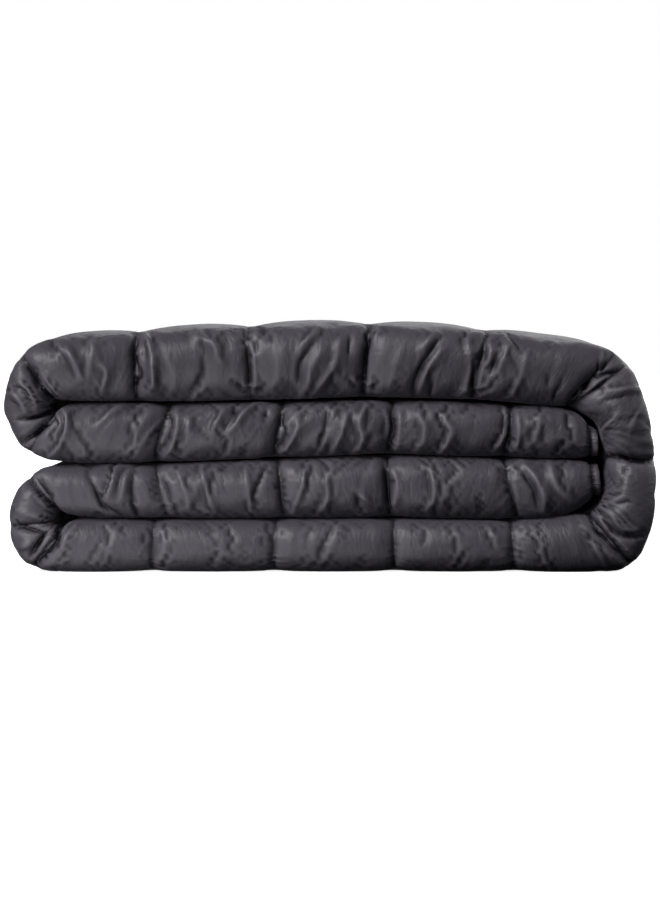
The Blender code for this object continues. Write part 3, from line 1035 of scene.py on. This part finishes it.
def satinFinish(material):
    satin = Finish(material)

    def turned(place, turn, stretch):
        return satin.node("ShaderNodeMapping", None, {"Vector": place, "Rotation": turn, "Scale": stretch})

    def soft(place, scale, detail, distortion=0, output=0):
        sockets = {"Vector": place, "Scale": scale, "Detail": detail, "Distortion": distortion}
        return satin.node("ShaderNodeTexNoise", None, sockets, output)

    def ridged(place, scale, detail, roughness):
        sockets = {"Vector": place, "Scale": scale, "Detail": detail, "Roughness": roughness}
        kind = {"noise_type": "RIDGED_MULTIFRACTAL", "normalize": True}
        return satin.node("ShaderNodeTexNoise", kind, sockets)

    def values(name):
        return satin.node("ShaderNodeAttribute", {"attribute_name": name}, None, "Fac")

    def threads(across):
        angle = across * (2 * math.pi / satinLook["weaveThread"])
        return satin.node("ShaderNodeMath", {"operation": "SINE"}, {0: angle})

    def mix(factor, first, second):
        return satin.node("ShaderNodeMix", {"data_type": "RGBA"}, {"Factor": factor, 6: first, 7: second}, 2)

    place = satin.node("ShaderNodeTexCoord", output="UV")
    drift = soft(place, satinLook["driftScale"], detail=1, output="Color")
    drifted = satin.node("ShaderNodeVectorMath", {"operation": "MULTIPLY_ADD"},
                         {0: drift, 1: satinLook["drift"], 2: place})
    slanted = turned(drifted, satinLook["crumpleTurn"], satinLook["crumpleStretch"])
    folds = ridged(slanted, satinLook["crumpleScale"], detail=2, roughness=0.45)
    fine = soft(slanted, satinLook["fineScale"], detail=1, distortion=0.8)
    gathered = turned(drifted, satinLook["gatherTurn"], satinLook["gatherStretch"])
    gathers = ridged(gathered, scale=1, detail=1.5, roughness=0.5)
    nearSeam = math.e ** (values("fromSeam") * (-1 / satinLook["gatherReach"]))
    alongCloth = satin.node("ShaderNodeSeparateXYZ", None, {0: place})
    weave = threads(alongCloth) * threads(alongCloth.other("Y"))
    height = (folds * satinLook["crumple"] + fine * satinLook["fineCrumple"]
              + gathers * nearSeam * satinLook["gather"] + weave * satinLook["weave"])
    satin.set("Normal", satin.node("ShaderNodeBump", None, {"Strength": 1, "Distance": 1, "Height": height}))

    hollow = values("hollow")
    dyed = mix(soft(place, satinLook["toneScale"], detail=3), satinLook["deep"], satinLook["light"])
    # painted shade in the troughs and in the deep creases and stitches
    shade = hollow * satinLook["hollowShade"] + values("tucked") * satinLook["tuckShade"]
    shaded = mix(shade, dyed, satinLook["shadow"])
    # painted highlight on the sharp ridges
    satin.set("Base Color", mix(hollow * -satinLook["ridgeLight"], shaded, satinLook["ridge"]))
    satin.set("Roughness", satinLook["roughness"] + (fine - 0.5) * satinLook["roughnessSpread"])
    satin.set("Specular IOR Level", satinLook["specular"])
    satin.set("Sheen Weight", satinLook["sheen"])
    satin.set("Sheen Roughness", satinLook["sheenRoughness"])
    satin.set("Sheen Tint", satinLook["sheenTint"])
    return material


quilt.materials.append(satinFinish(bpy.data.materials.new("charcoalSatin")))

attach(bedspread, "root")
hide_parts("bedspread")

# floor, light and camera
studio = {
    "floorSize": 30,
    "floorColour": (0.9, 0.9, 0.9, 1),
    "floorRoughness": 0.9,
    "floorGlow": 0.88,
    "keyFrom": (-0.52, -0.58, 0.60),
    "keyStrength": 3.5,
    "keySoftness": 29,       # degrees across
    "cardPlace": (-0.25, -0.62, 0.004),   # a pale card on the floor in front
    "cardAim": (-0.2, -0.5, 0.3),
    "cardSize": 0.6,
    "cardPower": 2.0,
    "backFrom": (0.30, 0.95, 0.30),       # keeps the back and the right side from going black
    "backStrength": 0.9,
    "backSoftness": 50,
    "sideFrom": (0.95, 0.22, 0.32),
    "sideStrength": 0.7,
    "sideSoftness": 50,
    "softLight": 0.10,
    "skyFrom": -0.15,        # the soft light grows from this height of the sky to the next
    "skyTo": 0.5,
    "cameraLens": 100,
    "cameraGap": 2.175,      # from the front fold
    "aimHeight": 0.1077,
    "cameraHeight": 0.185,
}


def addFloor():
    bm = bmesh.new()
    bmesh.ops.create_grid(bm, x_segments=1, y_segments=1, size=studio["floorSize"])
    mesh = bpy.data.meshes.new("floor")
    bm.to_mesh(mesh)
    bm.free()
    floor = bpy.data.objects.new("floor", mesh)
    bpy.context.scene.collection.objects.link(floor)
    floor.visible_diffuse = floor.visible_glossy = False
    material = bpy.data.materials.new("paper")
    paper = Finish(material)
    paper.set("Base Color", studio["floorColour"])
    paper.set("Roughness", studio["floorRoughness"])
    paper.set("Emission Color", (1, 1, 1, 1))
    paper.set("Emission Strength", studio["floorGlow"])
    mesh.materials.append(material)


def aimAt(thing, place, target):
    thing.location = place
    thing.rotation_euler = (Vector(target) - Vector(place)).to_track_quat("-Z", "Y").to_euler()
    bpy.context.scene.collection.objects.link(thing)


def addLight(name, kind, place, target, power, size):
    lamp = bpy.data.lights.new(name, kind)
    lamp.energy = power
    if kind == "SUN":
        lamp.angle = math.radians(size)
    else:
        lamp.size = size
    holder = bpy.data.objects.new(name, lamp)
    holder.visible_camera = False
    aimAt(holder, place, target)


def addSky():
    world = bpy.data.worlds.new("studio")
    bpy.context.scene.world = world
    sky = Finish(world)
    above = sky.node("ShaderNodeSeparateXYZ", None, {0: sky.node("ShaderNodeTexCoord")}).other("Z")
    glow = sky.node("ShaderNodeMapRange", None,
                    {"From Min": studio["skyFrom"], "From Max": studio["skyTo"], "Value": above})
    sky.set("Color", glow, "Background")
    sky.set("Strength", studio["softLight"], "Background")
    softLight = Wire(sky, sky.tree.nodes["Background"].outputs[0])
    backdrop = sky.node("ShaderNodeBackground", None, {"Color": (1, 1, 1, 1)})
    seen = sky.node("ShaderNodeLightPath", output="Is Camera Ray")
    either = sky.node("ShaderNodeMixShader", None, {0: seen, 1: softLight, 2: backdrop})
    sky.set("Surface", either, "World Output")


addFloor()
for sun in ("key", "back", "side"):
    place, power, softness = (studio[sun + value] for value in ("From", "Strength", "Softness"))
    addLight(sun + "Light", "SUN", place, (0, 0, 0), power, softness)
card = (studio[value] for value in ("cardPlace", "cardAim", "cardPower", "cardSize"))
addLight("floorCard", "AREA", *card)
addSky()
bpy.context.scene.view_settings.view_transform = "Standard"

camera = bpy.data.cameras.new("camera")
camera.lens = studio["cameraLens"]
viewer = bpy.data.objects.new("camera", camera)
front = -cloth["packDepth"] / 2
aimAt(viewer, (0, front - studio["cameraGap"], studio["cameraHeight"]), (0, front, studio["aimHeight"]))
bpy.context.scene.camera = viewer
print("studio set")
